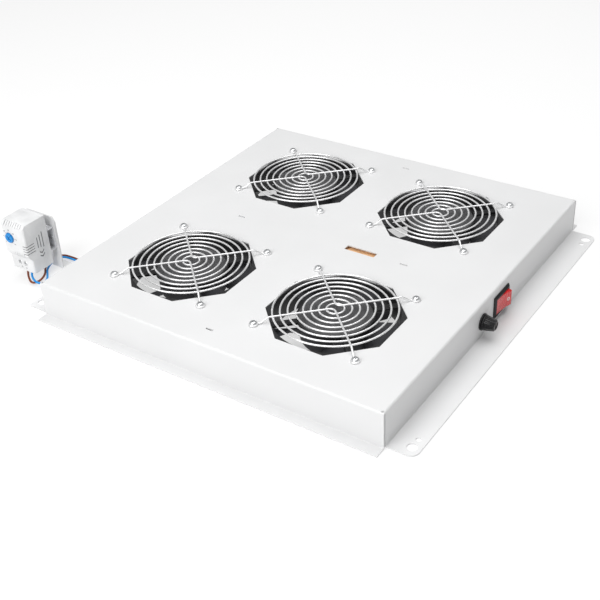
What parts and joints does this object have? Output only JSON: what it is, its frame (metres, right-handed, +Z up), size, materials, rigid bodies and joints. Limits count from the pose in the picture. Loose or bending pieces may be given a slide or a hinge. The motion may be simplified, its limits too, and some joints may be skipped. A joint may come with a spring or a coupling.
{
  "type": "rack fan tray",
  "caption": "Folded steel rack tray with axial fans under wire finger guards, a lit rocker switch, a fuse holder and a rail-mounted thermostat.",
  "frame": {"origin": "underside of the flanges, at the centre of the four large flange holes", "axes": "+X towards the wall with the switch, +Y towards the rear wall, +Z up out of the top plate"},
  "size_m": [0.488, 0.419, 0.0672],
  "materials": {
    "powder_coat": "fine satin powder coat",
    "black_paint": "matt black",
    "impeller_black": "matt moulded",
    "chrome_wire": "bright plated wire",
    "steel": "zinc plated",
    "bronze": "sintered bronze",
    "brass": "plain",
    "black_plastic": "moulded black",
    "red_plastic": "translucent red, lit from behind in use",
    "glass": "clear",
    "laminate": "brown laminate",
    "ivory_plastic": "moulded",
    "grey_plastic": "light grey moulded",
    "blue_plastic": "bright blue",
    "rubber": "soft black",
    "brown_pvc": "brown insulation",
    "blue_pvc": "blue insulation",
    "black_pvc": "black insulation"
  },
  "bodies": {
    "tray": {"tray_shell": "powder_coat", "fan_stators": "steel", "guard_screws": "steel", "switch_case": "black_plastic", "switch_tabs": "brass", "fuse_barrel": "black_plastic", "fuse_nut": "black_plastic", "fuse_tags": "brass", "terminal_board": "laminate", "board_studs": "steel", "board_nuts": "steel", "terminal_block": "ivory_plastic", "terminal_screws": "steel", "thermostat_cover": "grey_plastic", "thermostat_base": "grey_plastic", "thermostat_screws": "steel", "thermostat_bracket": "powder_coat", "din_rail": "steel", "bracket_screws": "steel", "rail_rivets": "steel", "lead_grommet": "rubber", "cable_gland": "black_plastic", "gland_nut": "black_plastic", "earth_stud": "brass", "earth_nut": "brass", "lead_brown": "brown_pvc", "lead_blue": "blue_pvc", "fan_leads": "black_pvc", "mains_leads": "brown_pvc", "fan_frame_1": "black_paint", "fan_bush_1": "bronze", "finger_guard_1": "chrome_wire", "fan_frame_2": "black_paint", "fan_bush_2": "bronze", "finger_guard_2": "chrome_wire", "fan_frame_3": "black_paint", "fan_bush_3": "bronze", "finger_guard_3": "chrome_wire", "fan_frame_4": "black_paint", "fan_bush_4": "bronze", "finger_guard_4": "chrome_wire"},
    "rocker": {"rocker": "red_plastic"},
    "fuse_carrier": {"glass_fuse": "glass"},
    "fuse_cap": {"fuse_cap": "black_plastic", "fuse_contact": "brass"},
    "thermostat_dial": {"thermostat_dial": "blue_plastic"},
    "rail_clip": {"rail_clip": "grey_plastic"},
    "fan_1": {"fan_rotor_1": "impeller_black", "fan_shaft_1": "steel"},
    "fan_2": {"fan_rotor_2": "impeller_black", "fan_shaft_2": "steel"},
    "fan_3": {"fan_rotor_3": "impeller_black", "fan_shaft_3": "steel"},
    "fan_4": {"fan_rotor_4": "impeller_black", "fan_shaft_4": "steel"}
  },
  "joints": [
    {"name": "fan_1_spin", "type": "hinge", "parent": "tray", "child": "fan_1", "pos_m": [-0.0822, 0.0998, 0.0358], "axis": [0, 0, 1], "continuous": true},
    {"name": "fan_2_spin", "type": "hinge", "parent": "tray", "child": "fan_2", "pos_m": [0.0822, 0.0998, 0.0358], "axis": [0, 0, 1], "continuous": true},
    {"name": "fan_3_spin", "type": "hinge", "parent": "tray", "child": "fan_3", "pos_m": [-0.0822, -0.0998, 0.0358], "axis": [0, 0, 1], "continuous": true},
    {"name": "fan_4_spin", "type": "hinge", "parent": "tray", "child": "fan_4", "pos_m": [0.0822, -0.0998, 0.0358], "axis": [0, 0, 1], "continuous": true},
    {"name": "rocker_tilt", "type": "hinge", "parent": "tray", "child": "rocker", "pos_m": [0.186, 0.0169, 0.0172], "axis": [0, 0, 1], "range_deg": [0, 16]},
    {"name": "fuse_pull", "type": "slide", "parent": "tray", "child": "fuse_carrier", "axis": [1, 0, 0], "range_m": [0, 0.028]},
    {"name": "fuse_cap_turn", "type": "hinge", "parent": "fuse_carrier", "child": "fuse_cap", "pos_m": [0.1885, -0.021, 0.0166], "axis": [1, 0, 0], "range_deg": [0, 90]},
    {"name": "dial_turn", "type": "hinge", "parent": "tray", "child": "thermostat_dial", "pos_m": [-0.26, -0.1665, 0.0497], "axis": [0, -1, 0], "range_deg": [-135, 135]},
    {"name": "clip_release", "type": "slide", "parent": "tray", "child": "rail_clip", "axis": [0, 0, -1], "range_m": [0, 0.003], "stiffness_N_per_m": 300}
  ]
}
